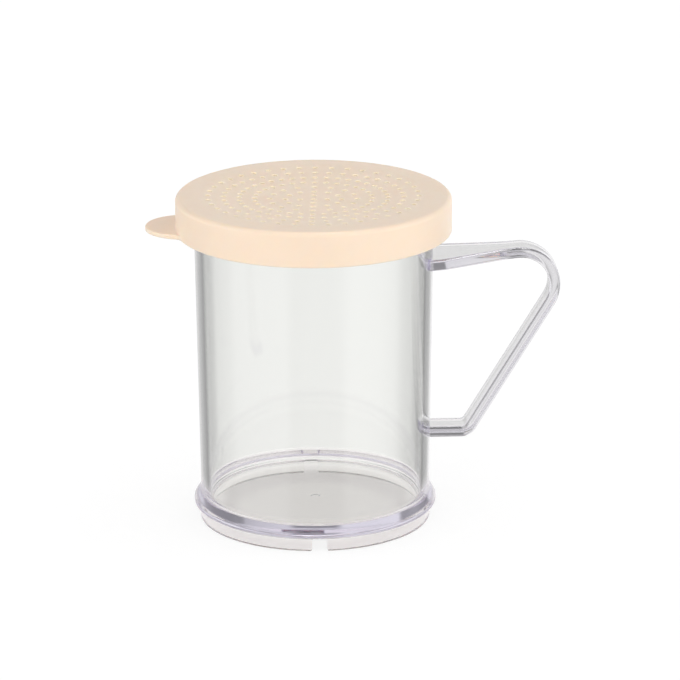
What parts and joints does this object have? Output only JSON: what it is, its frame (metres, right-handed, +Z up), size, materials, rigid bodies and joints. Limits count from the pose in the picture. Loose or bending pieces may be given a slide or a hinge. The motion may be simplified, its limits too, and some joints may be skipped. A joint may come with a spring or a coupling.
{
  "type": "spice shaker",
  "caption": "Clear cup-shaped hand shaker with an open side handle and a beige snap lid that is perforated for spice and has a pull tab.",
  "frame": {"origin": "centre of the foot ring, on the cup's axis, in the plane that the shaker stands on", "axes": "+Z up along the cup's axis, +X towards the handle, the lid's pull tab towards -X"},
  "size_m": [0.124, 0.0824, 0.1003],
  "materials": {
    "clear_plastic": "clear moulded polycarbonate, glossy",
    "clear_handle": "clear moulded polycarbonate, glossy",
    "beige_plastic": "beige polyolefin with a soft satin skin"
  },
  "bodies": {
    "cup": {"cup": "clear_plastic", "handle": "clear_handle"},
    "lid": {"lid": "beige_plastic"}
  },
  "joints": [
    {"name": "lid_lift", "type": "slide", "parent": "cup", "child": "lid", "axis": [0, 0, 1], "range_m": [0, 0.05]}
  ]
}
